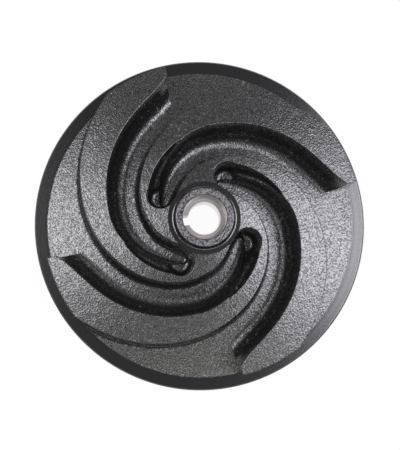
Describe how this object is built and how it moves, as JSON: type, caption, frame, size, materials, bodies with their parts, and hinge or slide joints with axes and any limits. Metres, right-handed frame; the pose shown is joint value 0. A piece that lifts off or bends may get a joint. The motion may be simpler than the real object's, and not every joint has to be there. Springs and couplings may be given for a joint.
{
  "type": "pump impeller",
  "caption": "Semi-open spiral-vane pump impeller with a back shroud, a keyed hub bore and thick backswept vanes.",
  "frame": {"origin": "on the shaft axis, at the plane of the back face", "axes": "+Z along the shaft axis toward the eye, keyway toward -X"},
  "size_m": [0.216, 0.216, 0.052],
  "materials": {
    "coated_casting": "sand-cast grain under a thin satin black coating; bore and its front seat turned bare"
  },
  "bodies": {
    "root": {"impeller": "coated_casting"}
  },
  "joints": []
}
